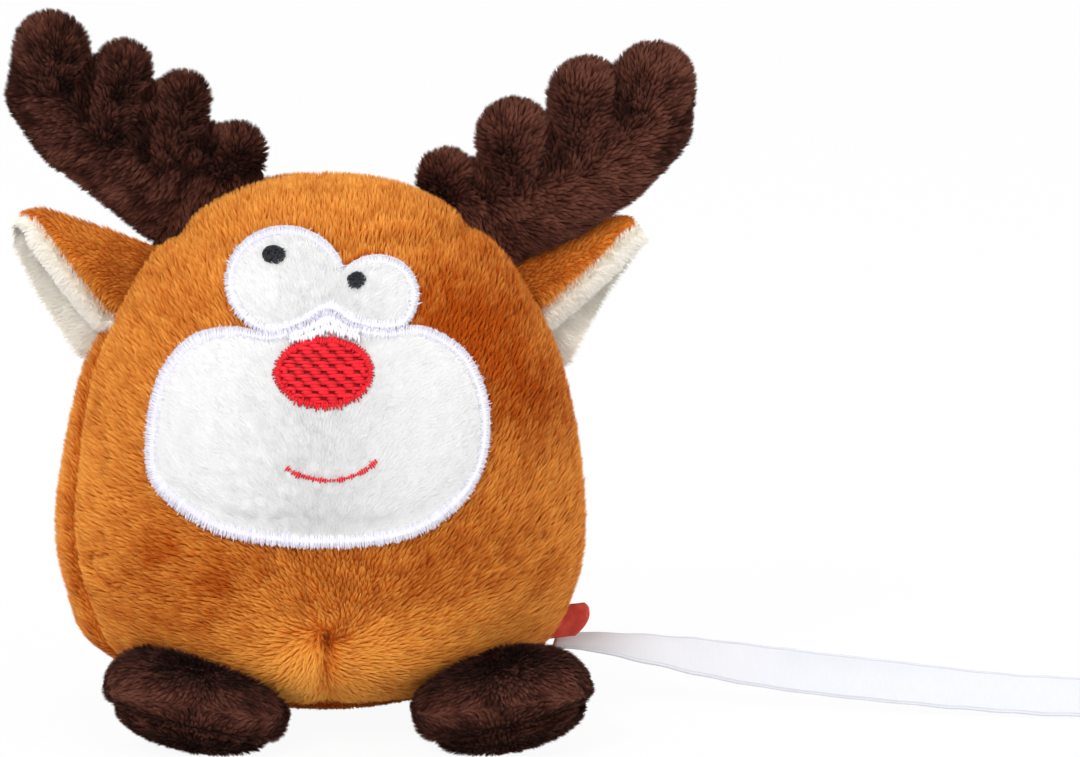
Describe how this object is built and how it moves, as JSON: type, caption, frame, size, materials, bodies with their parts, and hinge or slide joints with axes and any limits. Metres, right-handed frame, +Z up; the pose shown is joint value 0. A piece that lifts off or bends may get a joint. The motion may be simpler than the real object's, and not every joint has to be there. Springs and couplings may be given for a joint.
{
  "type": "plush deer",
  "caption": "Small ball-shaped plush deer with lobed antlers, folded ears, an applique face, two puffy feet, a side label and a satin ribbon.",
  "frame": {"origin": "on the table under the ball, at the middle of the flat patch that the base panel rests on", "axes": "+Z up, -Y the way the face looks, +X towards the side seam that carries the label and the ribbon"},
  "size_m": [0.1785, 0.0702, 0.095],
  "materials": {
    "orange_plush": "short dense plush pile, orange brown",
    "brown_plush": "dense dark brown plush pile",
    "cream_plush": "short cream plush pile",
    "white_plush": "very short white plush pile",
    "white_thread": "white satin stitch",
    "red_thread": "red embroidery thread, satin and filling stitch",
    "black_thread": "black embroidery thread",
    "red_label": "woven red label, bare",
    "ribbon_satin": "white satin ribbon with woven edges",
    "stuffing": "loose polyester fibre"
  },
  "bodies": {
    "body": {"front_panel": "orange_plush", "back_panel_left": "orange_plush", "back_panel_right": "orange_plush", "base_panel": "orange_plush", "body_stuffing": "stuffing", "muzzle_patch": "white_plush", "muzzle_border": "white_thread", "eye_patch": "white_plush", "eye_border": "white_thread", "nose": "red_thread", "nose_border": "red_thread", "mouth": "red_thread", "pupil_left": "black_thread", "pupil_right": "black_thread", "label": "red_label", "ribbon": "ribbon_satin"},
    "antler_left": {"antler_left_front": "brown_plush", "antler_left_back": "brown_plush", "antler_left_stuffing": "stuffing"},
    "antler_right": {"antler_right_front": "brown_plush", "antler_right_back": "brown_plush", "antler_right_stuffing": "stuffing"},
    "ear_left": {"ear_left_outer": "orange_plush", "ear_left_inner": "cream_plush"},
    "ear_right": {"ear_right_outer": "orange_plush", "ear_right_inner": "cream_plush"},
    "foot_left": {"foot_left_upper": "brown_plush", "foot_left_sole": "brown_plush", "foot_left_stuffing": "stuffing"},
    "foot_right": {"foot_right_upper": "brown_plush", "foot_right_sole": "brown_plush", "foot_right_stuffing": "stuffing"}
  },
  "joints": [
    {"name": "antler_left_flex", "type": "hinge", "parent": "body", "child": "antler_left", "pos_m": [-0.01642, 0.00027, 0.07032], "axis": [0.849, 0, 0.5284], "range_deg": [-25, 25], "stiffness_Nm_per_rad": 0.006},
    {"name": "antler_right_flex", "type": "hinge", "parent": "body", "child": "antler_right", "pos_m": [0.01966, 0.00663, 0.06656], "axis": [0.7826, 0, -0.6225], "range_deg": [-25, 25], "stiffness_Nm_per_rad": 0.006},
    {"name": "ear_left_flex", "type": "hinge", "parent": "body", "child": "ear_left", "pos_m": [-0.0304, -0.00228, 0.05737], "axis": [-0.5548, 0, -0.832], "range_deg": [-25, 25], "stiffness_Nm_per_rad": 0.002},
    {"name": "ear_right_flex", "type": "hinge", "parent": "body", "child": "ear_right", "pos_m": [0.03093, 0.00688, 0.05374], "axis": [0.5563, 0, -0.831], "range_deg": [-25, 25], "stiffness_Nm_per_rad": 0.002},
    {"name": "foot_left_droop", "type": "hinge", "parent": "body", "child": "foot_left", "pos_m": [-0.0169, -0.017, 0.0045], "axis": [1, 0, 0], "range_deg": [0, 18], "stiffness_Nm_per_rad": 0.004},
    {"name": "foot_right_droop", "type": "hinge", "parent": "body", "child": "foot_right", "pos_m": [0.024, -0.017, 0.0045], "axis": [1, 0, 0], "range_deg": [0, 18], "stiffness_Nm_per_rad": 0.004}
  ]
}
